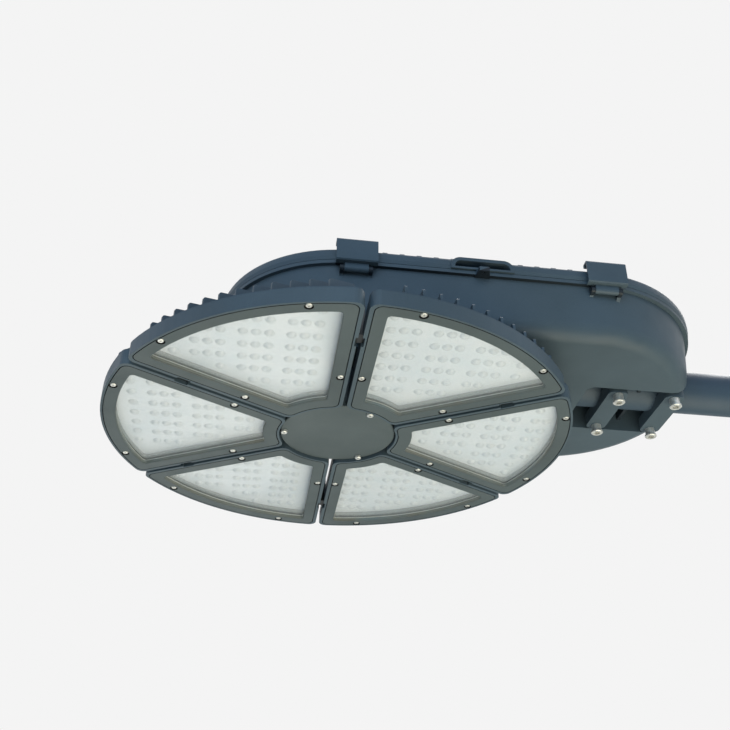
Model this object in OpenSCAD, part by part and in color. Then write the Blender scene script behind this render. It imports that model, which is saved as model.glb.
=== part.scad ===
// LED high mast light: six finned light modules in a disc, hung under a gear
// housing that clamps onto a round mast arm.
// All heights below are counted up from the front faces of the bezels, and all
// plan positions from the centre of the disc, with the arm along +X.
// The finished model is then moved so that the centre of the arm's free end is
// the origin.

/* [Disc of modules] */
// Diameter over the rims of the six heat sinks
disc_d = 612; // [580:1:660]
// Gap between neighbouring modules
slot_w = 5.4; // [4:0.2:10]
// Diameter of the opening in the middle of the disc
hub_hole_d = 154; // [140:1:180]
// Height of the side wall of a module
rim_h = 21; // [18:0.5:30]
// Corner radius of a module seen from below
module_corner = 11; // [6:0.5:16]
// Width of the casting's lip beside a slot
side_lip = 4.7; // [3:0.1:7]
// Width of the casting's lip along the rim and around the hub
rim_lip = 2.8; // [2:0.1:5]

/* [Heat sink] */
// Thickness of the deck that carries the fins
deck_t = 5; // [3:0.5:8]
// Fins on each module
fin_count = 12; // [8:1:16]
// Angle at the rim from one fin to the next
fin_step = 4; // [2.5:0.1:5]
// Thickness of a fin
fin_t = 3; // [2:0.1:4]
// Height of a fin above the deck at the rim
fin_start_h = 11; // [6:0.5:16]
// Rise of a fin's top edge for each millimetre inward
fin_slope = 0.2; // [0.1:0.01:0.4]
// Height of the fins above the deck where they are tallest
fin_full_h = 34; // [24:1:38]

/* [Bezel and glass] */
// Thickness of the bezel
bezel_t = 4.5; // [4:0.1:6]
// Shadow gap between bezel and casting
bezel_gap = 1.2; // [0.6:0.1:2]
// Width of the bezel frame beside a slot
frame_side_w = 15.2; // [14:0.1:20]
// Width of the bezel frame along the rim
frame_rim_w = 15.5; // [14:0.1:22]
// Width of the bezel frame around the hub
frame_hub_w = 17.5; // [14:0.1:24]
// Corner radius of the window
window_corner = 6; // [3:0.5:10]
// Thickness of the glass
glass_t = 4; // [3:0.5:5]
// Overlap of the bezel over the edge of the glass
glass_lap = 6; // [5:0.5:7]
// Thickness of the glass gasket
glass_gasket_t = 1.5; // [1:0.1:2.5]
// Depth of the optical chamber above the glass
chamber_h = 9; // [8:0.5:14]

/* [Optics] */
// Thickness of the lens plate
lens_plate_t = 1.8; // [1.2:0.1:2.5]
// Diameter of a lens dome at the plate
lens_d = 12.4; // [10:0.2:14]
// Height of a lens dome below the plate
lens_h = 3.6; // [2:0.1:4.5]
// Spacing of lenses inside a group of three, along the arm
lens_pitch = 15; // [13:0.5:17]
// Spacing of the groups of three, along the arm
lens_group_pitch = 55; // [46:1:70]
// Spacing of the rows of lenses, across the arm
lens_row_pitch = 26.2; // [18:0.2:36]
// Thickness of the circuit board
board_t = 1.6; // [1:0.1:2]
// Side of a light emitting chip
chip_w = 3.5; // [2:0.1:5]

/* [Gear housing] */
// Width of the housing over its flange
housing_w = 372; // [356:1:400]
// Reach of the housing from the disc centre towards the arm, over its flange
housing_front = 495; // [490:1:520]
// Reach of the housing from the disc centre away from the arm
housing_back = 165; // [155:1:190]
// Corner radius of the end away from the arm
nose_r = 160; // [110:1:165]
// Height of the housing floor above the bezel faces
floor_z = 72.5; // [71:0.5:80]
// Height of the housing from floor to flange top
housing_h = 77.5; // [74:0.5:95]
// Wall thickness of the housing
wall = 3.5; // [2.5:0.1:5]
// Overhang of the flange over the side wall
flange_out = 5; // [4:0.5:8]
// Thickness of the flange
flange_t = 5; // [4:0.5:8]
// Slope of the side wall from flange to floor, as a distance
wall_draft = 5; // [2:0.5:9]
// Radius of the edge between side wall and floor
floor_edge_r = 22; // [12:1:26]

/* [Lid] */
// Height of the lid's side band
lid_band_h = 16; // [14:0.5:24]
// Rise of the crown above the side band
lid_crown = 9; // [4:0.5:16]
// Wall thickness of the lid
lid_wall = 3; // [2:0.1:4]
// Thickness of the lid gasket
gasket_t = 2.6; // [2.2:0.1:3.2]
// Ribs across the lid
rib_count = 12; // [6:1:12]
// Spacing of the ribs
rib_pitch = 21.8; // [18:0.2:22]
// Width of a rib
rib_w = 6; // [4:0.5:9]
// Height of a rib
rib_h = 1.8; // [1:0.1:3]

/* [Latches] */
// Width of a latch
latch_w = 52; // [46:1:60]
// Distance between the two latches
latch_spacing = 320; // [300:1:330]
// Sheet thickness of a latch
latch_t = 2.5; // [2:0.1:3]
// Diameter of a latch pin
latch_pin_d = 4; // [3:0.1:4.4]
// Running clearance around a latch pin
latch_play = 0.05; // [0.03:0.01:0.1]

/* [Arm clamp] */
// Outside diameter of the mast arm
arm_d = 60; // [56:0.5:61]
// Wall thickness of the mast arm
arm_wall = 3; // [2:0.5:5]
// Length of arm beyond the housing
arm_stub = 105; // [100:1:200]
// Half width of the clamp recess
recess_half_w = 57; // [55:0.5:60]
// Length of the clamp recess, from its inner end to the housing's end
recess_len = 162; // [155:1:170]
// Width of a strap along the arm
strap_w = 28; // [20:0.5:32]
// Distance between the two straps
strap_pitch = 80.7; // [70:0.1:90]
// Distance between the two bolts of a strap
strap_bolt_pitch = 88.4; // [86:0.2:90]
// Diameter of a clamp bolt
clamp_bolt_d = 10; // [8:0.5:12]

/* [Hidden] */
module_count = 6;
module_angle = 360 / module_count;
half_angle = module_angle / 2;
fine = 96;
seat = 0.3;

// Plan of a module, as distances from the slot's centre line and radii
disc_r = disc_d / 2;
hub_hole_r = hub_hole_d / 2;
mouth_side = slot_w / 2 + side_lip;
mouth_out_r = disc_r - rim_lip;
mouth_in_r = hub_hole_r + rim_lip;
bezel_side = mouth_side + bezel_gap;
bezel_out_r = mouth_out_r - bezel_gap;
bezel_in_r = mouth_in_r + bezel_gap;
window_side = bezel_side + frame_side_w;
window_out_r = bezel_out_r - frame_rim_w;
window_in_r = bezel_in_r + frame_hub_w;

// Heights through a module
gasket_z = bezel_t;
glass_z = gasket_z + glass_gasket_t;
chamber_z = glass_z + glass_t;
deck_z = chamber_z + chamber_h;
deck_top = deck_z + deck_t;
board_z = deck_z - board_t;
lens_plate_z = board_z - lens_plate_t;
rim_top_edge = 2;
deck_step = 5.5;

// Module screws
screw_head_d = 7.6;
screw_head_h = 2.4;
screw_sink_d = 11;
screw_d = 4;
screw_len = 13;
screw_floor_t = 1.5;
screw_rim_r = bezel_out_r - 4.7;
screw_rim_angle = 18;
screw_side_r = 151;
screw_side_off = bezel_side + 4;

// Slot links
link_r = disc_r - 76;
link_len = 17;
link_w = 10;
link_z = 5;
link_head_w = 20;
link_head_h = 5;
link_top_z = 46;

// Hub and carrier
carrier_t = 8;
carrier_r = hub_hole_r + 44;
carrier_z = floor_z - carrier_t;
drum_r = hub_hole_r - 2;
drum_wall = 9;
cover_z = 3.6;
cover_t = 3;
cover_r = hub_hole_r - 1.5;
hub_screw_r = drum_r - drum_wall / 2;
hub_screw_head_d = 8.4;
wire_hole_r = 20;
post_r = 7;
post_ring_r = hub_hole_r + 30;
post_angle = 13;
post_bolt_d = 6;
post_bolt_len = 16;
carrier_bolt_d = 8;
carrier_bolt_ring_r = hub_hole_r + 19;
fin_stop = 12;

// Housing plan: one large arc towards the arm, two corner arcs away from it
half_w = housing_w / 2;
tail_x = housing_front - half_w;
nose_x = nose_r - housing_back;
nose_y = half_w - nose_r;
flange_z = floor_z + housing_h;
arc_step = 360 / fine;
edge_steps = 4;
floor_t = 4;

// Gasket and lid
gasket_in = 2.8;
gasket_w = 3.4;
groove_play = 0.2;
groove_depth = 2;
lid_z = flange_z - groove_depth + gasket_t;
lid_bulge = 1.5;
lid_top_z = lid_z + lid_band_h;
lid_foot_w = 7.5;
lid_foot_h = 3;
crown_z = lid_top_z + lid_crown;
rib_first_x = latch_spacing / 2 - (rib_count - 1) * rib_pitch / 2 - 4;

// Finger recess in the lid and padlock tab on the flange
grip_x = latch_spacing / 2;
grip_w = 71;
grip_h = 12.5;
grip_depth = 10;
grip_corner = 8;
hood_w = 5;
hood_out = 3;
tab_t = 6.3;
tab_out = 11;
tab_front_w = 12.6;
tab_base_w = 21;
tab_hole_in = 5;
tab_hole_d = 4;

// Latches: places are counted outward and up from the pin's axis
pin_y = half_w + 0.5;
pin_z = flange_z - flange_t - 8.5;
knuckle_r = 4.5;
knuckle_w = 30;
ear_w = 5;
ear_gap = 0.4;
latch_out = 8.5;
latch_foot_z = 5.5;
latch_top_z = lid_top_z + 8.4 - pin_z;
hook_reach = 12;
hook_drop = 2.5;
hook_corner = 2.4;
catch_w = 24;

// Hinge on the far side of the lid
hinge_y = half_w + 8;
hinge_z = (flange_z + lid_z) / 2;
hinge_r = 5;
hinge_pin_d = 5;
hinge_lid_w = 15.4;
hinge_ear_w = 10;
hinge_gap = 0.3;
hinge_x = [latch_spacing / 2 - 100, latch_spacing / 2 + 100];

// Arm and clamp
arm_r = arm_d / 2;
arm_z = floor_z + 7 + arm_r;
arm_play = 0.3;
recess_x = housing_front - recess_len;
recess_corner = 12;
recess_roof = floor_z + 39.5;
saddle_rib_t = 4.6;
saddle_rib_z = floor_z + 17.5;
arm_in_x = recess_x + 5;
arm_out_x = housing_front + arm_stub;
strap_out_x = housing_front - 35.5;
strap_in_x = strap_out_x - strap_pitch;
strap_half_l = recess_half_w - 5;
strap_bottom = floor_z - 2;
strap_top = strap_bottom + 17.5;
strap_corner = 8;
clamp_bolt_y = strap_bolt_pitch / 2;
clamp_head_d = 16.4;
clamp_barrel_d = 13.6;
clamp_head_h = 3;
clamp_barrel_h = 9.5;
clamp_boss_r = 8.5;
clamp_boss_gap = 4;
clamp_bolt_bite = 14;

// Electrical gear inside the housing
driver_l = 226;
driver_w = 68;
driver_h = 38;
driver_lift = 9;
driver_x = 0;
driver_y = 52;
driver_foot_w = 12;
driver_foot_t = 2;
terminal_x = 190;
surge_x = 245;
gear_shelf_t = 6;

SHARED_NODES = ["gear_housing", "housing_lid", "lid_gasket", "left_latch", "right_latch",
    "latch_pins", "hinge_pins", "hub_carrier", "hub_cover", "hub_cover_screws",
    "carrier_bolts", "module_bolts", "bezel_screws", "slot_links", "inner_strap",
    "outer_strap", "clamp_bolts", "arm_tube", "driver_left", "driver_right",
    "driver_screws", "terminal_block", "surge_protector", "cable_gland"];
MODULE_NODES = [for (kind = ["heat_sink_", "bezel_", "glass_gasket_", "glass_", "lens_plate_",
    "led_board_"]) for (k = [1:module_count]) str(kind, k)];

// Colours as painted metal, steel, glass and so on
paint = "#4b5b6b";
paint_dark = "#3c4853";
steel = "#d9dad6";
rubber = "#23272a";
clear = "#dfe9e6";
board = "#e9ece8";
gear_grey = "#8c9196";

// Moves the whole light so that the centre of the arm's free end is the origin
module placed() {
    translate([-arm_out_x, 0, -arm_z]) children();
}

// Turns one module's drawing, made around +X, to its place in the disc
module turned(k) {
    rotate([0, 0, (k - 1) * module_angle]) children();
}

// Sector of a ring with its sides a fixed distance from the slots' centre lines
module sector(side, in_r, out_r) {
    apex = side / sin(half_angle);
    reach = out_r * 1.3;
    intersection() {
        difference() {
            circle(r = out_r, $fn = 1.5 * fine);
            circle(r = in_r, $fn = 0.75 * fine);
        }
        polygon([[apex, 0],
            [apex + reach * cos(half_angle), -reach * sin(half_angle)],
            [apex + reach * cos(half_angle), reach * sin(half_angle)]]);
    }
}

// The same sector with rounded corners
module wedge(side, in_r, out_r, corner) {
    offset(r = corner, $fn = 24)
        offset(delta = -corner)
            sector(side, in_r, out_r);
}

module wedge_plate(z, t, side, in_r, out_r, corner) {
    translate([0, 0, z])
        linear_extrude(t)
            wedge(side, in_r, out_r, corner);
}

// Places of the four screws of a module, in the module's own drawing
module screw_places() {
    side_a = half_angle - asin(screw_side_off / screw_side_r);
    for (s = [-1, 1]) {
        rotate([0, 0, s * screw_rim_angle])
            translate([screw_rim_r, 0, 0]) children();
        rotate([0, 0, s * side_a])
            translate([screw_side_r, 0, 0]) children();
    }
}

// Places of the two posts that hold a module up to the carrier
module post_places() {
    for (s = [-1, 1])
        rotate([0, 0, s * post_angle])
            translate([post_ring_r, 0, 0]) children();
}

// Run of a fin from the rim until it nears the far slot or the hub
function fin_run(a, rim) = min(
    (rim * sin(half_angle - a) - fin_stop) / sin(2 * half_angle),
    hub_limit(rim * sin(a + half_angle), rim * cos(a + half_angle)));
function hub_limit(off, along) = off > hub_hole_r + 6 ? along :
    along - sqrt(pow(hub_hole_r + 6, 2) - off * off);

// Side view of a fin, with its outer end at zero and a rounded outer corner
module fin_profile(run) {
    corner = 3;
    end_cut = 3;
    last = run - end_cut;
    rise = min(fin_full_h, fin_start_h + fin_slope * last);
    level_from = (fin_full_h - fin_start_h) / fin_slope;
    points = concat(
        [[0, -1]],
        [for (a = [180:-15:105]) [corner + corner * cos(a), fin_start_h - corner + corner * sin(a)]],
        level_from < last ? [[level_from, rise]] : [],
        [[last, rise], [run, rise - end_cut], [run, -1]]);
    rotate([90, 0, 0])
        translate([0, 0, -fin_t / 2])
            linear_extrude(fin_t)
                polygon(points);
}

// Fins start evenly along the rim and run side by side, parallel to one slot
module fins() {
    rim = disc_r - deck_step - 0.5;
    for (i = [0:fin_count - 1]) {
        a = (i - (fin_count - 1) / 2) * fin_step;
        rotate([0, 0, a])
            translate([rim, 0, deck_top])
                rotate([0, 0, 180 - half_angle - a])
                    fin_profile(fin_run(a, rim));
    }
}

module link_notch() {
    for (s = [-1, 1])
        rotate([0, 0, s * half_angle])
            translate([link_r - link_len / 2 - seat, -link_w / 2 - seat, -1])
                cube([link_len + 2 * seat, link_w + 2 * seat, deck_top + 2]);
}

module heat_sink(k) {
    color(paint) placed() turned(k)
        difference() {
            union() {
                wedge_plate(0, rim_h - rim_top_edge, slot_w / 2, hub_hole_r, disc_r, module_corner);
                wedge_plate(rim_h - rim_top_edge, rim_top_edge, slot_w / 2 + 1, hub_hole_r + 1,
                    disc_r - 1, module_corner - 1);
                wedge_plate(rim_h - 1, deck_top - rim_h + 1, slot_w / 2 + deck_step,
                    hub_hole_r + deck_step, disc_r - deck_step, module_corner);
                fins();
                post_places()
                    translate([0, 0, deck_z + 1]) cylinder(r = post_r, h = carrier_z - deck_z - 1, $fn = 48);
            }
            wedge_plate(-1, bezel_t + 1, mouth_side, mouth_in_r, mouth_out_r, module_corner - 1);
            wedge_plate(bezel_t - 0.5, chamber_z - bezel_t + 0.5, window_side - glass_lap - seat,
                window_in_r - glass_lap - seat, window_out_r + glass_lap + seat, window_corner);
            wedge_plate(chamber_z - 0.5, deck_z - chamber_z + 0.5, window_side - 2, window_in_r - 2,
                window_out_r + 2, window_corner);
            screw_places()
                cylinder(r = screw_d / 2 + 0.05, h = screw_len + bezel_t, $fn = 32);
            post_places()
                translate([0, 0, carrier_z - post_bolt_len]) cylinder(r = post_bolt_d / 2 + 0.05, h = 40, $fn = 32);
            link_notch();
        }
}

module bezel(k) {
    color(paint_dark) placed() turned(k)
        difference() {
            wedge_plate(0, bezel_t, bezel_side, bezel_in_r, bezel_out_r, module_corner - 2);
            wedge_plate(-1, bezel_t + 2, window_side, window_in_r, window_out_r, window_corner);
            wedge_plate(-1, 2, window_side - 0.8, window_in_r - 0.8, window_out_r + 0.8, window_corner);
            screw_places() {
                translate([0, 0, -1]) cylinder(r = screw_sink_d / 2, h = bezel_t - screw_floor_t + 1, $fn = 48);
                cylinder(r = screw_d / 2 + 0.2, h = bezel_t + 1, $fn = 32);
            }
        }
}

module glass_gasket(k) {
    color(rubber) placed() turned(k)
        difference() {
            wedge_plate(gasket_z, glass_gasket_t, window_side - glass_lap, window_in_r - glass_lap,
                window_out_r + glass_lap, window_corner);
            wedge_plate(gasket_z - 1, glass_gasket_t + 2, window_side - 0.5, window_in_r - 0.5,
                window_out_r + 0.5, window_corner);
        }
}

module glass(k) {
    color(clear) placed() turned(k)
        wedge_plate(glass_z, glass_t, window_side - glass_lap, window_in_r - glass_lap,
            window_out_r + glass_lap, window_corner);
}

// Lens centres of one module: one grid lies over the whole disc, and a module
// keeps the points that fall inside its window
function turned_back(p, k) = let (a = -(k - 1) * module_angle)
    [p[0] * cos(a) - p[1] * sin(a), p[0] * sin(a) + p[1] * cos(a)];
function in_window(q, margin) = let (r = norm(q), off = q[0] * sin(half_angle) - abs(q[1]) * cos(half_angle))
    q[0] > 0 && r > window_in_r + margin && r < window_out_r - margin && off > window_side + margin;
lens_groups = floor(disc_r / lens_group_pitch) + 1;
lens_rows = floor(disc_r / lens_row_pitch) + 1;
function lens_points(k) = [
    for (g = [-lens_groups:lens_groups]) for (c = [-1:1]) for (j = [-lens_rows:lens_rows])
        let (q = turned_back([(g - 0.1) * lens_group_pitch + c * lens_pitch, (j - 0.06) * lens_row_pitch], k))
            if (in_window(q, lens_d / 2 + 1)) q];

module lens_plate(k) {
    sphere_r = (pow(lens_d / 2, 2) + pow(lens_h, 2)) / (2 * lens_h);
    color(clear) placed() turned(k)
        difference() {
            union() {
                wedge_plate(lens_plate_z, lens_plate_t, window_side - 1.5, window_in_r - 1.5,
                    window_out_r + 1.5, window_corner);
                for (q = lens_points(k))
                    translate([q[0], q[1], lens_plate_z + 0.5])
                        rotate([180, 0, 0])
                            rotate_extrude($fn = 40)
                                intersection() {
                                    translate([0, lens_h + 0.5 - sphere_r]) circle(r = sphere_r, $fn = fine);
                                    square([lens_d, lens_h + 1]);
                                }
            }
            for (q = lens_points(k))
                translate([q[0] - chip_w / 2 - 0.3, q[1] - chip_w / 2 - 0.3, board_z - 0.8])
                    cube([chip_w + 0.6, chip_w + 0.6, 2]);
        }
}

module led_board(k) {
    color(board) placed() turned(k)
        union() {
            wedge_plate(board_z, board_t, window_side - 1.5, window_in_r - 1.5, window_out_r + 1.5,
                window_corner);
            for (q = lens_points(k))
                translate([q[0] - chip_w / 2, q[1] - chip_w / 2, board_z - 0.6])
                    cube([chip_w, chip_w, 0.8]);
        }
}

// Countersunk-free pan head with a small hexagon socket
module pan_screw(head_d, head_h, d, len, socket) {
    difference() {
        union() {
            translate([0, 0, -head_h])
                rotate_extrude($fn = 48)
                    polygon([[0, 0], [head_d / 2 - 0.7, 0], [head_d / 2, 0.7], [head_d / 2, head_h], [0, head_h]]);
            translate([0, 0, -0.1]) cylinder(d = d, h = len + 0.1, $fn = 32);
        }
        translate([0, 0, -head_h - 1]) cylinder(d = socket, h = head_h * 0.6 + 1, $fn = 6);
    }
}

module bezel_screws() {
    color(steel) placed()
        for (k = [1:module_count]) turned(k)
            screw_places()
                translate([0, 0, bezel_t - screw_floor_t])
                    pan_screw(screw_head_d, screw_head_h, screw_d, screw_len, 2.8);
}

module slot_links() {
    color(rubber) placed()
        for (k = [1:module_count])
            rotate([0, 0, (k - 0.5) * module_angle])
                translate([link_r, 0, 0])
                    union() {
                        translate([-link_len / 2, -link_w / 2, link_z])
                            cube([link_len, link_w, link_top_z - link_z]);
                        translate([-link_len / 2, -link_head_w / 2, deck_top])
                            cube([link_len, link_head_w, link_head_h]);
                    }
}

// Hub: a drum under the carrier plate, closed from below by a round cover
module hub_carrier() {
    color(paint_dark) placed()
        difference() {
            union() {
                translate([0, 0, carrier_z]) cylinder(r = carrier_r, h = carrier_t, $fn = fine);
                translate([0, 0, cover_z + cover_t]) cylinder(r = drum_r, h = carrier_z - cover_z - cover_t + 1, $fn = fine);
            }
            translate([0, 0, cover_z]) cylinder(r = drum_r - drum_wall, h = carrier_z - cover_z - 4, $fn = fine);
            cylinder(r = wire_hole_r, h = floor_z + 1, $fn = fine);
            for (k = [1:module_count]) turned(k) post_places() {
                translate([0, 0, carrier_z - 1]) cylinder(r = post_bolt_d / 2 + 0.2, h = carrier_t + 2, $fn = 32);
                translate([0, 0, floor_z - 6.4]) cylinder(r = 5.4, h = 7, $fn = 32);
            }
            carrier_bolt_places()
                translate([0, 0, carrier_z - 1]) cylinder(r = carrier_bolt_d / 2 + 0.05, h = carrier_t + 2, $fn = 32);
            hub_screw_places()
                cylinder(r = screw_d / 2 + 0.05, h = 24, $fn = 32);
        }
}

module hub_screw_places() {
    for (a = [60, 180, 300])
        rotate([0, 0, a]) translate([hub_screw_r, 0, 0]) children();
}

module carrier_bolt_places() {
    for (k = [1:module_count])
        rotate([0, 0, (k - 0.5) * module_angle]) translate([carrier_bolt_ring_r, 0, 0]) children();
}

module hub_cover() {
    color(paint_dark) placed()
        difference() {
            translate([0, 0, cover_z])
                rotate_extrude($fn = 2 * fine)
                    polygon([[0, 0], [cover_r - 1, 0], [cover_r, 1], [cover_r, cover_t], [0, cover_t]]);
            hub_screw_places()
                cylinder(r = screw_d / 2 + 0.2, h = 10, $fn = 32);
        }
}

module hub_cover_screws() {
    color(steel) placed()
        hub_screw_places()
            translate([0, 0, cover_z]) pan_screw(hub_screw_head_d, cover_z - 0.2, screw_d, 16, 3);
}

module carrier_bolts() {
    color(steel) placed()
        carrier_bolt_places()
            union() {
                translate([0, 0, carrier_z + 0.5]) cylinder(d = carrier_bolt_d, h = carrier_t + floor_t, $fn = 32);
                translate([0, 0, floor_z + floor_t]) cylinder(d = 15, h = 5.3, $fn = 6);
            }
}

module module_bolts() {
    color(steel) placed()
        for (k = [1:module_count]) turned(k) post_places() {
            translate([0, 0, carrier_z - post_bolt_len + 1])
                cylinder(d = post_bolt_d, h = post_bolt_len + carrier_t - 6.5, $fn = 32);
            translate([0, 0, floor_z - 6.4])
                difference() {
                    cylinder(d = 10, h = 6, $fn = 32);
                    translate([0, 0, 3]) cylinder(d = 5.8, h = 4, $fn = 6);
                }
        }
}

// Plan of the housing, drawn in by a given inset
function arc_points(cx, cy, r, from, to) = [for (a = [from:arc_step:to]) [cx + r * cos(a), cy + r * sin(a)]];
module plan(inset) {
    polygon(concat(
        arc_points(tail_x, 0, half_w - inset, -90, 90),
        arc_points(nose_x, nose_y, nose_r - inset, 90, 180),
        arc_points(nose_x, -nose_y, nose_r - inset, 180, 270)));
}

module plan_ring(z, t, inset, w) {
    translate([0, 0, z])
        linear_extrude(t)
            difference() {
                plan(inset);
                plan(inset + w);
            }
}

// Smooth body through a list of levels, each a height and an inset
module loft(levels) {
    hull()
        for (level = levels) {
            translate([tail_x, 0, level[0]]) cylinder(r = half_w - level[1], h = 0.01, $fn = fine);
            for (s = [-1, 1])
                translate([nose_x, s * nose_y, level[0]]) cylinder(r = nose_r - level[1], h = 0.01, $fn = fine);
        }
}

function edge_levels(z, inset, r) = [for (i = [0:edge_steps])
    let (a = 90 * i / edge_steps) [z + r - r * sin(a), inset + r - r * cos(a)]];

module housing_outside() {
    loft(concat([[flange_z - 1, flange_out]],
        edge_levels(floor_z, flange_out + wall_draft, floor_edge_r)));
}

module housing_inside() {
    loft(concat([[flange_z + 1, flange_out + wall]],
        edge_levels(floor_z + floor_t, flange_out + wall_draft + wall, floor_edge_r - wall)));
}

// Clamp recess: open below and at the end, with a round trough for the arm
module recess(grow) {
    translate([recess_x - grow, 0, floor_z - 10])
        linear_extrude(recess_roof - floor_z + 10 + grow)
            difference() {
                offset(r = recess_corner, $fn = 32)
                    offset(delta = -recess_corner)
                        translate([0, -recess_half_w - grow])
                            square([recess_len + 60, 2 * (recess_half_w + grow)]);
            }
    translate([recess_x - grow, 0, arm_z])
        rotate([0, 90, 0]) cylinder(r = arm_r + arm_play + grow, h = recess_len + 60, $fn = fine);
}

// Rib across the recess, between the straps, cut out round the arm
module saddle_rib() {
    difference() {
        translate([(strap_in_x + strap_out_x - saddle_rib_t) / 2, -recess_half_w - 1, saddle_rib_z])
            cube([saddle_rib_t, 2 * recess_half_w + 2, recess_roof + 1 - saddle_rib_z]);
        translate([strap_in_x, 0, arm_z])
            rotate([0, 90, 0]) cylinder(r = arm_r + arm_play, h = strap_pitch, $fn = fine);
    }
}

module clamp_bolt_places() {
    for (x = [strap_in_x, strap_out_x]) for (s = [-1, 1])
        translate([x, s * clamp_bolt_y, 0]) children();
}

// Ears under the flange that carry one latch pin
module latch_ears() {
    for (s = [-1, 1])
        translate([s * (knuckle_w / 2 + ear_gap + ear_w / 2), 0, 0])
            difference() {
                rotate([0, 90, 0])
                    linear_extrude(ear_w, center = true)
                        union() {
                            circle(r = knuckle_r, $fn = 48);
                            translate([-knuckle_r, 0]) square([2 * knuckle_r, flange_out + 9]);
                            polygon([[0, 0], [knuckle_r + 7, flange_out + 9], [0, flange_out + 9]]);
                        }
                rotate([0, 90, 0]) cylinder(d = latch_pin_d, h = ear_w + 2, center = true, $fn = 48);
            }
}

module latch_places() {
    for (x = [0, latch_spacing]) translate([x, -pin_y, pin_z]) children();
}

module padlock_tab() {
    translate([grip_x, -half_w, flange_z - tab_t])
        difference() {
            linear_extrude(tab_t)
                polygon([[-tab_base_w / 2, flange_out + wall / 2], [tab_base_w / 2, flange_out + wall / 2],
                    [tab_front_w / 2, -tab_out], [-tab_front_w / 2, -tab_out]]);
            translate([0, tab_hole_in - tab_out, -1]) cylinder(d = tab_hole_d, h = tab_t + 2, $fn = 32);
        }
}

module hinge_ears() {
    for (x = hinge_x) for (s = [-1, 1])
        translate([x + s * (hinge_lid_w / 2 + hinge_gap + hinge_ear_w / 2), hinge_y, hinge_z])
            difference() {
                rotate([0, 90, 0])
                    linear_extrude(hinge_ear_w, center = true)
                        union() {
                            circle(r = hinge_r, $fn = 48);
                            translate([lid_z - flange_z, -14]) square([hinge_r - (lid_z - flange_z), 14]);
                        }
                rotate([0, 90, 0]) cylinder(d = hinge_pin_d, h = hinge_ear_w + 2, center = true, $fn = 48);
            }
}

module gear_housing() {
    color(paint) placed()
        difference() {
            union() {
                difference() {
                    housing_outside();
                    housing_inside();
                }
                plan_ring(flange_z - flange_t, flange_t, 0, flange_out + wall);
                intersection() {
                    recess(wall);
                    housing_outside();
                }
                clamp_bolt_places()
                    translate([0, 0, strap_top + clamp_boss_gap])
                        cylinder(r = clamp_boss_r, h = recess_roof + 1 - strap_top - clamp_boss_gap, $fn = 48);
                difference() {
                    latch_places() latch_ears();
                    housing_inside();
                }
                padlock_tab();
                hinge_ears();
                driver_feet_places()
                    translate([0, 0, floor_z + 1]) cylinder(r = 5, h = floor_t - 1 + driver_lift, $fn = 32);
                gear_shelf();
            }
            difference() {
                recess(0);
                saddle_rib();
                clamp_bolt_places()
                    translate([0, 0, strap_top + clamp_boss_gap])
                        cylinder(r = clamp_boss_r, h = 60, $fn = 48);
            }
            clamp_bolt_places()
                translate([0, 0, strap_top]) cylinder(r = clamp_bolt_d / 2 + 0.05, h = 22.5, $fn = 48);
            plan_ring(flange_z - groove_depth, groove_depth + 1, gasket_in - groove_play, gasket_w + 2 * groove_play);
            carrier_bolt_places()
                translate([0, 0, floor_z - 1]) cylinder(r = carrier_bolt_d / 2 + 0.05, h = floor_t + 2, $fn = 32);
            translate([0, 0, floor_z - 1]) cylinder(r = wire_hole_r, h = floor_t + 2, $fn = fine);
            translate([recess_x - 8, 0, arm_z]) rotate([0, 90, 0]) cylinder(r = 10.05, h = 12, $fn = 48);
            driver_feet_places()
                translate([0, 0, floor_z + floor_t]) cylinder(r = 2.05, h = driver_lift + 1, $fn = 32);
        }
}

// Raised floor for the terminal block and the surge protector
module gear_shelf() {
    translate([terminal_x - 24, -60, floor_z + 1]) cube([surge_x - terminal_x + 60, 120, gear_shelf_t + floor_t - 1]);
}

// Lid: band, crown, cross ribs, finger recess, latch catches and hinge knuckles
module lid_outside(rise, inset) {
    loft([[lid_z, inset], [lid_z + 5, inset - lid_bulge], [lid_top_z - 4 + rise, inset - lid_bulge + 0.3],
        [lid_top_z - 1.2 + rise, inset - lid_bulge + 1.5], [lid_top_z + rise, inset + 3],
        [lid_top_z + lid_crown * 0.55 + rise, inset + 40], [crown_z + rise, inset + 110]]);
}

module lid_inside() {
    loft([[lid_z + lid_foot_h, lid_wall], [lid_top_z - 4 - lid_wall, lid_wall + 0.3],
        [lid_top_z - lid_wall, lid_wall + 4], [lid_top_z + lid_crown * 0.55 - lid_wall, lid_wall + 40],
        [crown_z - lid_wall, lid_wall + 110]]);
}

module grip_profile(grow) {
    hull() {
        for (s = [-1, 1])
            translate([s * (grip_w / 2 - grip_corner), grip_h - grip_corner])
                circle(r = grip_corner + grow, $fn = 48);
        translate([-grip_w / 2 - grow, -2]) square([grip_w + 2 * grow, 2]);
    }
}

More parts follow.
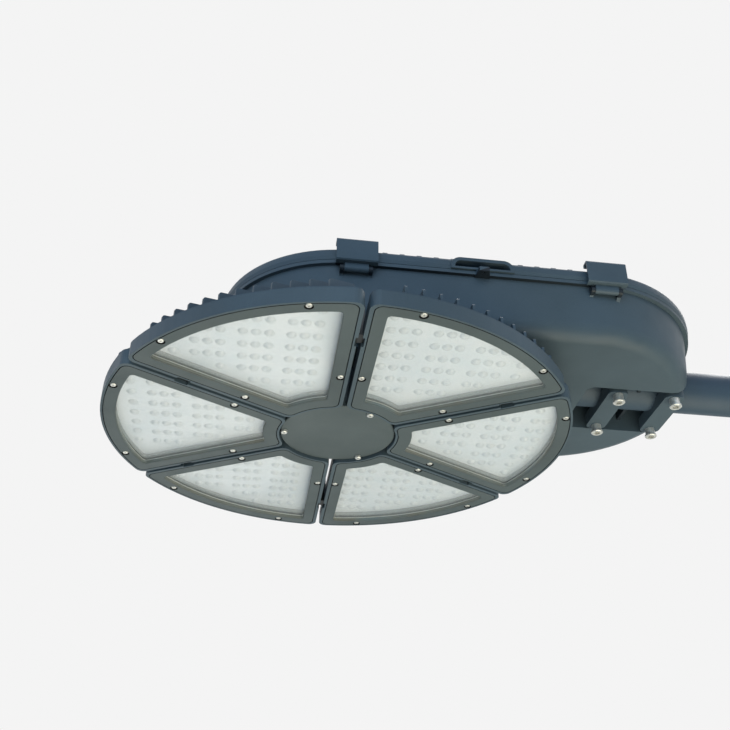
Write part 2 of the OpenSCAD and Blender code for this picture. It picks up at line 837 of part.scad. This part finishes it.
module housing_lid() {
    color(paint) placed()
        difference() {
            union() {
                difference() {
                    union() {
                        lid_outside(0, 0);
                        intersection() {
                            lid_outside(rib_h, 1);
                            for (i = [0:rib_count - 1])
                                translate([rib_first_x + i * rib_pitch - rib_w / 2, -half_w, lid_top_z - 6])
                                    cube([rib_w, housing_w, lid_crown + 20]);
                        }
                    }
                    lid_inside();
                    translate([0, 0, lid_z - 1]) linear_extrude(lid_foot_h + 2) plan(lid_foot_w);
                }
                translate([grip_x, -half_w + grip_depth + lid_wall, lid_z])
                    rotate([90, 0, 0]) linear_extrude(grip_depth + lid_wall - 2) grip_profile(lid_wall);
                translate([grip_x, -half_w + lid_wall, lid_z])
                    rotate([90, 0, 0]) linear_extrude(lid_wall + hood_out) grip_profile(hood_w);
                for (x = [0, latch_spacing])
                    translate([x - catch_w / 2, -pin_y - 1, lid_top_z - 4])
                        cube([catch_w, 6, pin_z + latch_top_z - latch_t - hook_drop - seat - lid_top_z + 4]);
                for (x = hinge_x)
                    translate([x, hinge_y, hinge_z])
                        rotate([0, 90, 0])
                            linear_extrude(hinge_lid_w, center = true)
                                union() {
                                    circle(r = hinge_r, $fn = 48);
                                    translate([-hinge_r, -12]) square([hinge_r - (lid_z - hinge_z) - 0.3, 12]);
                                }
            }
            translate([grip_x, -half_w + grip_depth, lid_z])
                rotate([90, 0, 0])
                    linear_extrude(grip_depth + 20)
                        difference() {
                            grip_profile(0);
                            translate([-grip_w, lid_foot_h - 20]) square([2 * grip_w, 20]);
                        }
            translate([grip_x - grip_w, -half_w - 20, lid_z - 20]) cube([2 * grip_w, 60, 20]);
            for (x = hinge_x)
                translate([x, hinge_y, hinge_z])
                    rotate([0, 90, 0]) cylinder(d = hinge_pin_d, h = hinge_lid_w + 2, center = true, $fn = 48);
        }
}

module lid_gasket() {
    color(rubber) placed()
        plan_ring(flange_z - groove_depth, gasket_t, gasket_in, gasket_w);
}

// Latch: a folded sheet that hooks over the lid and turns on its pin
module latch() {
    top = latch_top_z;
    out = latch_out + latch_t;
    difference() {
        union() {
            rotate([90, 0, -90])
                linear_extrude(latch_w, center = true)
                    polygon([[2, latch_foot_z], [out - 1.5, latch_foot_z], [out, latch_foot_z + 1.5],
                        [out, top - hook_corner], [out - 0.7, top - 0.7], [out - hook_corner, top],
                        [out - hook_reach + 1, top], [out - hook_reach, top - 1], [out - hook_reach, top - latch_t - hook_drop],
                        [out - hook_reach + 2, top - latch_t - hook_drop], [out - hook_reach + 2.4, top - latch_t],
                        [out - latch_t - 1, top - latch_t], [out - latch_t, top - latch_t - 1],
                        [out - latch_t, latch_foot_z + latch_t], [2, latch_foot_z + latch_t]]);
            rotate([90, 0, -90])
                linear_extrude(knuckle_w, center = true)
                    union() {
                        circle(r = knuckle_r, $fn = 48);
                        translate([2, 0]) square([knuckle_r - 2, latch_foot_z + 1]);
                    }
        }
        rotate([0, 90, 0]) cylinder(d = latch_pin_d + 2 * latch_play, h = latch_w, center = true, $fn = 48);
    }
}

module left_latch() {
    color(paint) placed() translate([0, -pin_y, pin_z]) latch();
}

module right_latch() {
    color(paint) placed() translate([latch_spacing, -pin_y, pin_z]) latch();
}

module latch_pins() {
    color(steel) placed()
        latch_places()
            rotate([0, 90, 0])
                cylinder(d = latch_pin_d, h = knuckle_w + 2 * ear_gap + 2 * ear_w, center = true, $fn = 48);
}

module hinge_pins() {
    color(steel) placed()
        for (x = hinge_x)
            translate([x, hinge_y, hinge_z])
                rotate([0, 90, 0])
                    cylinder(d = hinge_pin_d, h = hinge_lid_w + 2 * (hinge_gap + hinge_ear_w), center = true, $fn = 48);
}

// Strap: a bar with a round cradle for the arm, one bolt at each end
module strap(x) {
    color(paint) placed()
        difference() {
            translate([x, 0, strap_bottom])
                linear_extrude(strap_top - strap_bottom)
                    offset(r = strap_corner, $fn = 32)
                        offset(delta = -strap_corner)
                            square([strap_w, 2 * strap_half_l], center = true);
            translate([x - strap_w, 0, arm_z])
                rotate([0, 90, 0]) cylinder(r = arm_r + arm_play, h = 2 * strap_w, $fn = fine);
            for (s = [-1, 1])
                translate([x, s * clamp_bolt_y, strap_bottom - 1])
                    cylinder(d = clamp_bolt_d + 0.6, h = 30, $fn = 48);
        }
}

module inner_strap() {
    strap(strap_in_x);
}

module outer_strap() {
    strap(strap_out_x);
}

module clamp_bolts() {
    head_z = strap_bottom - clamp_barrel_h;
    color(steel) placed()
        clamp_bolt_places()
            difference() {
                union() {
                    translate([0, 0, head_z - clamp_head_h])
                        rotate_extrude($fn = 48)
                            polygon([[0, 0], [clamp_head_d / 2 - 0.8, 0], [clamp_head_d / 2, 0.8],
                                [clamp_head_d / 2, clamp_head_h], [clamp_barrel_d / 2, clamp_head_h + 0.8],
                                [clamp_barrel_d / 2, clamp_head_h + clamp_barrel_h],
                                [0, clamp_head_h + clamp_barrel_h]]);
                    translate([0, 0, head_z]) cylinder(d = clamp_bolt_d, h = recess_roof - 8 - head_z, $fn = 48);
                }
                translate([0, 0, head_z - clamp_head_h - 1]) cylinder(d = 9.2, h = 6, $fn = 6);
            }
}

module arm_tube() {
    color(paint) placed()
        translate([arm_in_x, 0, arm_z])
            rotate([0, 90, 0])
                difference() {
                    cylinder(r = arm_r, h = arm_out_x - arm_in_x, $fn = fine);
                    translate([0, 0, -1]) cylinder(r = arm_r - arm_wall, h = arm_out_x - arm_in_x + 2, $fn = fine);
                }
}

// Two drivers side by side on posts, held by four screws each
module driver_feet_places() {
    for (s = [-1, 1]) for (e = [-1, 1]) for (f = [-1, 1])
        translate([driver_x + e * (driver_l / 2 + driver_foot_w / 2), s * driver_y + f * driver_w / 3, 0]) children();
}

module driver(side) {
    z = floor_z + floor_t + driver_lift;
    color(gear_grey) placed()
        difference() {
            union() {
                translate([driver_x - driver_l / 2, side * driver_y - driver_w / 2, z])
                    cube([driver_l, driver_w, driver_h]);
                translate([driver_x - driver_l / 2 - driver_foot_w, side * driver_y - driver_w / 2, z])
                    cube([driver_l + 2 * driver_foot_w, driver_w, driver_foot_t]);
            }
            driver_feet_places()
                translate([0, 0, z - 1]) cylinder(r = 2.2, h = driver_foot_t + 2, $fn = 32);
        }
}

module driver_left() {
    driver(-1);
}

module driver_right() {
    driver(1);
}

module driver_screws() {
    z = floor_z + floor_t + driver_lift + driver_foot_t;
    color(steel) placed()
        driver_feet_places()
            translate([0, 0, z]) rotate([180, 0, 0]) pan_screw(7, 2.4, 4, driver_lift, 2.5);
}

module terminal_block() {
    z = floor_z + floor_t + gear_shelf_t;
    color("#e8e6df") placed()
        translate([terminal_x - 15, -30, z])
            difference() {
                cube([30, 60, 24]);
                for (i = [0:4])
                    translate([15, 8 + i * 11, 14]) cylinder(r = 3.4, h = 12, $fn = 32);
            }
}

module surge_protector() {
    z = floor_z + floor_t + gear_shelf_t;
    color("#b9bdc0") placed()
        translate([surge_x - 18, -26, z]) cube([36, 52, 30]);
}

module cable_gland() {
    color(rubber) placed()
        translate([recess_x - wall, 0, arm_z])
            rotate([0, 90, 0])
                difference() {
                    union() {
                        translate([0, 0, -9]) cylinder(d = 24, h = 9, $fn = 6);
                        translate([0, 0, -1]) cylinder(r = 10, h = wall + 1, $fn = 48);
                    }
                    translate([0, 0, -20]) cylinder(r = 6, h = 40, $fn = 48);
                }
}

gear_housing();
housing_lid();
lid_gasket();
left_latch();
right_latch();
latch_pins();
hinge_pins();
hub_carrier();
hub_cover();
hub_cover_screws();
carrier_bolts();
module_bolts();
bezel_screws();
slot_links();
inner_strap();
outer_strap();
clamp_bolts();
arm_tube();
driver_left();
driver_right();
driver_screws();
terminal_block();
surge_protector();
cable_gland();
for (k = [1:module_count]) {
    heat_sink(k);
    bezel(k);
    glass_gasket(k);
    glass(k);
    lens_plate(k);
    led_board(k);
}
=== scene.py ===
# Looks of the high mast light: materials, lights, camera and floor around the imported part.
import math

import bmesh
import bpy
from mathutils import Matrix, Vector


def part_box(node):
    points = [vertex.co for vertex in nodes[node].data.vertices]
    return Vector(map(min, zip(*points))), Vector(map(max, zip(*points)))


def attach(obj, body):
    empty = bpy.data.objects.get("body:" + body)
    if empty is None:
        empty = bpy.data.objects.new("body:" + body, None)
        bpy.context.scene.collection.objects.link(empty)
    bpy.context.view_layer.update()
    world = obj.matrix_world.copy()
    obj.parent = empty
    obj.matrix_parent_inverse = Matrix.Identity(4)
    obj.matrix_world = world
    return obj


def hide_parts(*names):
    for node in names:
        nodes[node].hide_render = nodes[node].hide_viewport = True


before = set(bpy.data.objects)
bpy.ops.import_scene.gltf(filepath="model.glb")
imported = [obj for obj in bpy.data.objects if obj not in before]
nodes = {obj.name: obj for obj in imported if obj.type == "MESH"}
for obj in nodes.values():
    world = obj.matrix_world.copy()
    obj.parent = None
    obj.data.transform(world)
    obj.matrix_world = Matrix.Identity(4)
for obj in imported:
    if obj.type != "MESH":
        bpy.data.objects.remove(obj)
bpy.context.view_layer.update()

MODULES = range(1, 7)


def srgb(code):
    """A colour written as six hex digits, as linear red, green, blue and one."""
    out = []
    for i in (0, 2, 4):
        v = int(code[i:i + 2], 16) / 255
        out.append(v / 12.92 if v <= 0.04045 else ((v + 0.055) / 1.055) ** 2.4)
    return (*out, 1.0)


class Mat:
    """A Principled material with short ways to add nodes."""

    def __init__(self, name, colour, rough=0.5, metallic=0.0):
        self.m = bpy.data.materials.new(name)
        self.m.use_nodes = True
        self.tree = self.m.node_tree
        self.bsdf = self.tree.nodes["Principled BSDF"]
        self.bsdf.inputs["Base Color"].default_value = srgb(colour)
        self.bsdf.inputs["Roughness"].default_value = rough
        self.bsdf.inputs["Metallic"].default_value = metallic
        self.coord = self.node("ShaderNodeTexCoord").outputs["Object"]

    def node(self, kind, **values):
        n = self.tree.nodes.new(kind)
        for key, value in values.items():
            if key in n.inputs:
                n.inputs[key].default_value = value
            else:
                setattr(n, key, value)
        return n

    def link(self, a, b):
        self.tree.links.new(a, b)

    def noise(self, scale, detail=3.0, roughness=0.5, stretch=None):
        n = self.node("ShaderNodeTexNoise", Scale=scale, Detail=detail, Roughness=roughness)
        src = self.coord
        if stretch:
            m = self.node("ShaderNodeMapping")
            m.inputs["Scale"].default_value = stretch
            self.link(src, m.inputs["Vector"])
            src = m.outputs["Vector"]
        self.link(src, n.inputs["Vector"])
        return n.outputs["Fac"]

    def ramp(self, fac, stops):
        r = self.node("ShaderNodeValToRGB")
        els = r.color_ramp.elements
        while len(els) < len(stops):
            els.new(0.5)
        for el, (pos, col) in zip(els, stops):
            el.position = pos
            el.color = srgb(col) if isinstance(col, str) else col
        self.link(fac, r.inputs["Fac"])
        return r.outputs["Color"]

    def mix(self, fac, a, b, mode="MIX"):
        n = self.node("ShaderNodeMix")
        n.data_type = "RGBA"
        n.blend_type = mode
        for sock, value in ((n.inputs["Factor"], fac), (n.inputs[6], a), (n.inputs[7], b)):
            if hasattr(value, "is_output"):
                self.link(value, sock)
            else:
                sock.default_value = value
        return n.outputs[2]

    def maths(self, op, a, b):
        n = self.node("ShaderNodeMath")
        n.operation = op
        for sock, value in ((n.inputs[0], a), (n.inputs[1], b)):
            if hasattr(value, "is_output"):
                self.link(value, sock)
            else:
                sock.default_value = value
        return n.outputs[0]

    def span(self, fac, lo, hi, to_lo, to_hi):
        n = self.node("ShaderNodeMapRange")
        self.link(fac, n.inputs["Value"])
        n.inputs["From Min"].default_value = lo
        n.inputs["From Max"].default_value = hi
        n.inputs["To Min"].default_value = to_lo
        n.inputs["To Max"].default_value = to_hi
        return n.outputs["Result"]

    def bump(self, height, distance, strength):
        n = self.node("ShaderNodeBump", Strength=strength, Distance=distance)
        self.link(height, n.inputs["Height"])
        return n.outputs["Normal"]

    def set(self, name, source):
        self.link(source, self.bsdf.inputs[name])


def painted(name, colour, light, dark):
    """Satin powder coat: fine grain, a soft drift of shade and slightly dull patches."""
    p = Mat(name, colour, 0.42)
    drift = p.noise(7.0, 4.0, 0.55)
    fine = p.noise(900.0, 2.0, 0.6)
    body = p.ramp(drift, [(0.25, dark), (0.5, colour), (0.75, light)])
    speck = p.ramp(fine, [(0.3, (0.86, 0.86, 0.86, 1)), (0.7, (1.1, 1.1, 1.1, 1))])
    p.set("Base Color", p.mix(0.5, body, speck, "MULTIPLY"))
    p.set("Roughness", p.span(p.noise(22.0, 4.0), 0.3, 0.7, 0.40, 0.54))
    p.set("Normal", p.bump(fine, 0.00008, 0.35))
    p.bsdf.inputs["Specular IOR Level"].default_value = 0.24
    return p.m


# One coat for the castings, and copies of it that paint light and shade: darker in the clamp recess,
# darker on the arm, greyer below
PAINT = painted("slate_powder_coat", "44525b", "495862", "3e4b53")
# darker copy: painted shade in the clamp recess, on the ears under the flange and on the latch pins
PAINT_SHADE = painted("slate_painted_shade_coat", "20282f", "242d35", "1c2329")
# darker, bluer copy on the arm tube: painted shade that damps the light from below on it
PAINT_ARM_SHADED = painted("slate_arm_painted_shade_coat", "3a4956", "3f4f5d", "35434f")
# greyer copy on the bezels, hub carrier and hub cover: the warmer light from below painted into the
# colour
PAINT_UNDERSIDE_LIGHT = painted("slate_coat_painted_underside_light", "4a5457", "505a5d", "434c4f")

steel = Mat("stainless_steel", "d6d6d2", 0.34, 0.6)
steel.set("Base Color", steel.ramp(steel.noise(260.0, 3.0), [(0.3, "bdbdb9"), (0.7, "e4e4e0")]))
steel.set("Roughness", steel.span(steel.noise(420.0, 3.0), 0.3, 0.7, 0.28, 0.44))
STEEL = steel.m

rubber = Mat("black_rubber", "1d2022", 0.72)
rubber.set("Base Color", rubber.ramp(rubber.noise(60.0, 4.0), [(0.3, "181b1d"), (0.7, "25292b")]))
rubber.set("Normal", rubber.bump(rubber.noise(1500.0, 2.0), 0.00006, 0.4))
RUBBER = rubber.m

plastic = Mat("black_plastic", "16191b", 0.45)
plastic.set("Base Color", plastic.ramp(plastic.noise(45.0, 4.0), [(0.3, "121517"), (0.7, "1e2224")]))
plastic.set("Normal", plastic.bump(plastic.noise(1100.0, 2.0), 0.00006, 0.4))
PLASTIC = plastic.m

# Front glass: clear and thin, with faint unevenness in its gloss
glass = Mat("window_glass", "dfe8e6", 0.04)
glass.bsdf.inputs["IOR"].default_value = 1.5
glass.bsdf.inputs["Alpha"].default_value = 0.22
glass.set("Roughness", glass.span(glass.noise(9.0, 4.0), 0.3, 0.7, 0.03, 0.12))
glass.set("Base Color", glass.ramp(glass.noise(5.0, 3.0), [(0.3, "ccd8e2"), (0.7, "dae3ea")]))
GLASS = glass.m

# Lens plate: milky moulded plastic
lens = Mat("lens_plastic", "f4f6f4", 0.12)
lens.bsdf.inputs["IOR"].default_value = 1.49
lens.bsdf.inputs["Alpha"].default_value = 0.85
lens.set("Roughness", lens.span(lens.noise(40.0, 3.0), 0.3, 0.7, 0.08, 0.2))
lens.set("Base Color", lens.ramp(lens.noise(30.0, 4.0), [(0.3, "e8eff7"), (0.7, "f3f5fa")]))
LENS = lens.m

# Domes of the lens plate: clear and glossy
dome = Mat("lens_dome", "dfe5e2", 0.07)
dome.bsdf.inputs["IOR"].default_value = 1.49
dome.bsdf.inputs["Alpha"].default_value = 0.76
dome.bsdf.inputs["Specular IOR Level"].default_value = 0.8
dome.set("Roughness", dome.span(dome.noise(60.0, 3.0), 0.3, 0.7, 0.05, 0.12))
dome.set("Base Color", dome.ramp(dome.noise(45.0, 4.0), [(0.3, "e3eaf2"), (0.7, "f1f3f7")]))
DOME = dome.m

# Chamber wall behind the glass: pale reflector coat
liner = Mat("pale_reflector_coat", "777b76", 0.35)
liner_tones = [(0.3, "7d7b6f"), (0.5, "777b76"), (0.7, "707d80")]
liner.set("Base Color", liner.ramp(liner.noise(14.0, 3.0), liner_tones))
LINER = liner.m

# Joint faces between casting and bezel and between the modules: near-black, painted shade for the deep
# shade in the seams
seam = Mat("joint_painted_shade", "14181a", 0.7)
seam.set("Base Color", seam.ramp(seam.noise(70.0, 3.0), [(0.3, "111416"), (0.7, "181d20")]))
SEAM_SHADE = seam.m

silicone = Mat("white_silicone", "c9cbc4", 0.5)
silicone.set("Base Color", silicone.ramp(silicone.noise(30.0, 3.0), [(0.3, "c2c4bc"), (0.7, "d2d4ce")]))
SILICONE = silicone.m


def board_material():
    """White solder mask with faint copper tracks, and yellow phosphor on the raised chips."""
    b = Mat("led_board", "e9ece8", 0.38)
    chip_h = 0.0006
    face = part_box("led_board_1")[0].z + chip_h
    z = b.node("ShaderNodeSeparateXYZ")
    b.link(b.coord, z.inputs[0])
    chip = b.maths("LESS_THAN", z.outputs["Z"], face - chip_h / 2)
    tracks = b.node("ShaderNodeTexBrick", Scale=36.0)
    b.link(b.coord, tracks.inputs["Vector"])
    tracks.inputs["Color1"].default_value = srgb("e8ebe7")
    tracks.inputs["Color2"].default_value = srgb("e3e7e2")
    tracks.inputs["Mortar"].default_value = srgb("d2d8d2")
    tracks.inputs["Mortar Size"].default_value = 0.03
    speck = b.ramp(b.noise(500.0, 2.0), [(0.3, "e2b845"), (0.7, "f1d066")])
    b.set("Base Color", b.mix(chip, tracks.outputs["Color"], speck))
    return b.m


BOARD = board_material()

case = Mat("driver_case", "8f9499", 0.4, 1.0)
case.set("Base Color", case.ramp(case.noise(18.0, 4.0), [(0.3, "83888d"), (0.7, "9ea3a7")]))
case.set("Roughness", case.span(case.noise(200.0, 3.0, 0.5, (1, 12, 1)), 0.3, 0.7, 0.32, 0.5))
CASE = case.m

pale = Mat("pale_plastic", "dcd9cf", 0.42)
pale.set("Base Color", pale.ramp(pale.noise(40.0, 4.0), [(0.3, "d2cfc4"), (0.7, "e4e1d8")]))
pale.set("Normal", pale.bump(pale.noise(900.0, 2.0), 0.00006, 0.4))
PALE = pale.m

wanted = {
    "gear_housing": PAINT, "housing_lid": PAINT, "left_latch": PAINT, "right_latch": PAINT,
    # arm tube: darker copy of the coat, with painted shade
    "inner_strap": PAINT, "outer_strap": PAINT, "arm_tube": PAINT_ARM_SHADED,
    # hub parts: greyer copy of the coat, with the light from below painted in
    "hub_carrier": PAINT_UNDERSIDE_LIGHT, "hub_cover": PAINT_UNDERSIDE_LIGHT,
    "lid_gasket": RUBBER, "cable_gland": PLASTIC, "slot_links": PLASTIC,
    # latch pins take the darker copy: painted shade under the flange
    "latch_pins": PAINT_SHADE, "hinge_pins": STEEL, "hub_cover_screws": STEEL, "carrier_bolts": STEEL,
    "module_bolts": STEEL, "bezel_screws": STEEL, "clamp_bolts": STEEL, "driver_screws": STEEL,
    "driver_left": CASE, "driver_right": CASE, "terminal_block": PALE, "surge_protector": PALE}
for k in MODULES:
    # bezels: greyer copy of the coat, with the light from below painted in
    wanted.update({f"heat_sink_{k}": PAINT, f"bezel_{k}": PAINT_UNDERSIDE_LIGHT, f"glass_gasket_{k}": SILICONE,
                   f"glass_{k}": GLASS, f"lens_plate_{k}": LENS, f"led_board_{k}": BOARD})
for name, obj in nodes.items():
    obj.data.materials.clear()
    obj.data.materials.append(wanted[name])


LAMP = Vector((-0.6, 0))
HALF_WEDGE = math.radians(30)
UPRIGHT_NZ = 0.3
WEDGE_MID_R = 0.19
# Margins round the pane's outline for the chamber's walls, and round the window for the bezel's edge
CHAMBER_MARGIN, CHAMBER_MIN_R = 0.001, 0.09
WINDOW_MARGIN, WINDOW_HUB_MARGIN = 0.005, 0.004
CHAMBER_BELOW, CHAMBER_ABOVE = 0.0002, 0.004
# Joint faces lie farther than this from the slot's middle and from the hub
SEAM_SIDE, SEAM_MIN_R = 0.004, 0.078


def line_chamber(k):
    """Give the walls behind the window of module k, and the window's edge, their pale coat; paint
    near-black shade on the joint faces and the bezel's other upright faces.
    """
    az = 2 * HALF_WEDGE * (k - 1)
    axis = Vector((math.cos(az), math.sin(az)))

    def place(obj, co):
        """Distance of a point from the middle of the nearer slot, and from the lamp's centre."""
        q = (obj.matrix_world @ co).xy - LAMP
        return q.dot(axis) * math.sin(HALF_WEDGE) - abs(q.cross(axis)) * math.cos(HALF_WEDGE), q.length

    pane = nodes[f"glass_{k}"]
    spots = [place(pane, v.co) for v in pane.data.vertices]
    edge = min(side for side, r in spots)
    rim, hub = max(r for side, r in spots), min(r for side, r in spots)
    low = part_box(f"glass_{k}")[1].z - CHAMBER_BELOW
    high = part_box(f"led_board_{k}")[0].z + CHAMBER_ABOVE
    sink, bezel = nodes[f"heat_sink_{k}"], nodes[f"bezel_{k}"]
    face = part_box(f"bezel_{k}")[1].z
    centre = LAMP + axis * WEDGE_MID_R
    for obj in (sink, bezel):
        obj.data.materials.append(LINER)
        obj.data.materials.append(SEAM_SHADE)
        for poly in obj.data.polygons:
            side, r = place(obj, poly.center)
            upright = abs(poly.normal.z) < UPRIGHT_NZ
            inward = poly.normal.xy.dot(poly.center.xy - centre) < 0
            if obj is sink:
                walls = side > edge - CHAMBER_MARGIN and CHAMBER_MIN_R < r < rim + CHAMBER_MARGIN
                lined = walls and low < poly.center.z < high
                # upright joint faces of the casting that face into the module: near-black painted shade
                joint = poly.center.z < face and side > SEAM_SIDE and r > SEAM_MIN_R
                dark = upright and inward and joint
            else:
                window = side > edge + WINDOW_MARGIN and hub + WINDOW_HUB_MARGIN < r < rim - WINDOW_MARGIN
                lined = upright and window
                # the bezel's outer edge and screw recess walls: near-black painted shade
                dark = upright and not lined
            if lined or dark:
                poly.material_index = 1 if lined else 2


def clear_domes(k):
    """Give the domes of lens plate k their clear material; the plate stays milky."""
    wall_nz, flat_nz = 0.02, 0.9995
    mesh = nodes[f"lens_plate_{k}"].data
    mesh.materials.append(DOME)
    for poly in mesh.polygons:
        if wall_nz < -poly.normal.z < flat_nz:
            poly.material_index = 1


for k in MODULES:
    line_chamber(k)
    clear_domes(k)


def paint_recess_shade():
    """Paint the shade on the walls of the clamp recess and on the ears under the flange with the darker
    copy of the coat.
    """
    recess_end_x, recess_top_z = -0.268, 0.034
    floor_skin, side_margin = 0.0006, 0.003
    ear_reach_x, ear_reach_y, ear_reach_z = 0.01, 0.0075, 0.012
    obj = nodes["gear_housing"]
    obj.data.materials.append(PAINT_SHADE)
    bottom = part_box("gear_housing")[0].z + floor_skin
    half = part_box("inner_strap")[1].y + side_margin
    pin_lo, pin_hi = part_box("latch_pins")
    for poly in obj.data.polygons:
        c = poly.center
        recess = c.x > recess_end_x and abs(c.y) < half and bottom < c.z < recess_top_z
        by_pins = pin_lo.x - ear_reach_x < c.x < pin_hi.x + ear_reach_x
        ear = by_pins and c.y < pin_lo.y + ear_reach_y and abs(c.z - pin_lo.z) < ear_reach_z
        if recess or ear:
            poly.material_index = 1


paint_recess_shade()


def smoothed(name):
    """The same casting with its vertices joined and its rounded edges shaded smooth."""
    join_within, sharp_from = 2e-6, math.radians(28)
    mesh = nodes[name].data.copy()
    bm = bmesh.new()
    bm.from_mesh(mesh)
    bmesh.ops.remove_doubles(bm, verts=bm.verts, dist=join_within)
    bm.to_mesh(mesh)
    bm.free()
    if "custom_normal" in mesh.attributes:
        mesh.attributes.remove(mesh.attributes["custom_normal"])
    mesh.polygons.foreach_set("use_smooth", [True] * len(mesh.polygons))
    mesh.set_sharp_from_angle(angle=sharp_from)
    piece = bpy.data.objects.new(f"{name}_smooth", mesh)
    bpy.context.scene.collection.objects.link(piece)
    weigh = piece.modifiers.new("weigh", "WEIGHTED_NORMAL")
    weigh.keep_sharp = True
    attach(piece, "lamp")
    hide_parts(name)


for name in ("gear_housing", "housing_lid"):
    smoothed(name)

# Camera: below the light and in front of its latch side, looking up
CAM = Vector((-0.7062, -1.1101, -0.6900))
AZ, EL, ROLL = (math.radians(v) for v in (-7.2911, -31.8594, 0.5952))
FOCAL_PX, PHOTO_PX, SENSOR = 947.5, 730, 36.0
back = Vector((math.sin(AZ) * math.cos(EL), -math.cos(AZ) * math.cos(EL), math.sin(EL)))
right = (-back).cross(Vector((0, 0, 1))).normalized()
up = right.cross(-back)
cam_x = math.cos(ROLL) * right + math.sin(ROLL) * up
cam_y = -math.sin(ROLL) * right + math.cos(ROLL) * up
cam = bpy.data.objects.new("camera", bpy.data.cameras.new("camera"))
bpy.context.scene.collection.objects.link(cam)
turn = Matrix((cam_x, cam_y, back)).transposed()
cam.matrix_world = Matrix.Translation(CAM) @ turn.to_4x4()
cam.data.sensor_width = SENSOR
cam.data.lens = FOCAL_PX / PHOTO_PX * SENSOR
cam.data.clip_start = 0.05
bpy.context.scene.camera = cam

# Floor, well below the hung light
FLOOR_Z, FLOOR_HALF = -1.7, 9
corners = [(x * FLOOR_HALF, y * FLOOR_HALF, FLOOR_Z) for x, y in ((-1, -1), (1, -1), (1, 1), (-1, 1))]
mesh = bpy.data.meshes.new("floor")
mesh.from_pydata(corners, [], [(0, 1, 2, 3)])
floor = bpy.data.objects.new("floor", mesh)
bpy.context.scene.collection.objects.link(floor)
pale_floor = Mat("floor", "f3e4ce", 0.9)
floor_tones = [(0.3, "f2e2cb"), (0.7, "f5e6d1")]
pale_floor.set("Base Color", pale_floor.ramp(pale_floor.noise(2.0, 2.0), floor_tones))
mesh.materials.append(pale_floor.m)

# World: plain pale background, even light with a cool cast
BACK = 0.9047
world = bpy.data.worlds.new("world")
bpy.context.scene.world = world
world.use_nodes = True
wt = world.node_tree
wt.nodes.clear()
out = wt.nodes.new("ShaderNodeOutputWorld")
seen = wt.nodes.new("ShaderNodeBackground")
seen.inputs["Color"].default_value = (BACK, BACK, BACK, 1)
lit = wt.nodes.new("ShaderNodeBackground")
lit.inputs["Color"].default_value = (0.38, 0.62, 0.95, 1)
lit.inputs["Strength"].default_value = 0.52
path = wt.nodes.new("ShaderNodeLightPath")
most = wt.nodes.new("ShaderNodeMath")
most.operation = "MAXIMUM"
more = wt.nodes.new("ShaderNodeMath")
more.operation = "MAXIMUM"
wt.links.new(path.outputs["Is Camera Ray"], most.inputs[0])
wt.links.new(path.outputs["Is Transmission Ray"], most.inputs[1])
wt.links.new(most.outputs[0], more.inputs[0])
wt.links.new(path.outputs["Is Glossy Ray"], more.inputs[1])
join = wt.nodes.new("ShaderNodeMixShader")
wt.links.new(more.outputs[0], join.inputs["Fac"])
wt.links.new(lit.outputs[0], join.inputs[1])
wt.links.new(seen.outputs[0], join.inputs[2])
wt.links.new(join.outputs[0], out.inputs["Surface"])


def area(name, place, aim, size, power, colour):
    """A round area lamp at one place, turned towards another."""
    data = bpy.data.lights.new(name, "AREA")
    data.shape = "DISK"
    data.size = size
    data.energy = power
    data.color = colour
    lamp = bpy.data.objects.new(name, data)
    bpy.context.scene.collection.objects.link(lamp)
    lamp.location = place
    lamp.rotation_euler = (Vector(aim) - Vector(place)).to_track_quat("-Z", "Y").to_euler()


area("front_light", (-1.2, -2.6, 0.6), (-0.45, 0, 0), 2.2, 28, (0.56, 0.79, 1.0))
area("under_light", (-0.1, -0.3, -1.6), (-0.45, 0, -0.1), 2.4, 43, (1.0, 0.92, 0.70))
area("top_light", (0.3, 0.9, 1.9), (-0.45, 0, 0), 2.2, 52, (1.0, 0.99, 0.97))
area("sheen_light", (-0.95, 1.9, -1.3), (-0.6, 0, -0.1), 1.0, 4.0, (1.0, 0.99, 0.95))
area("left_light", (-2.4, -0.5, -0.3), (-0.9, 0, -0.1), 0.8, 3.6, (1.0, 0.98, 0.94))

bpy.context.scene.view_settings.view_transform = "Standard"
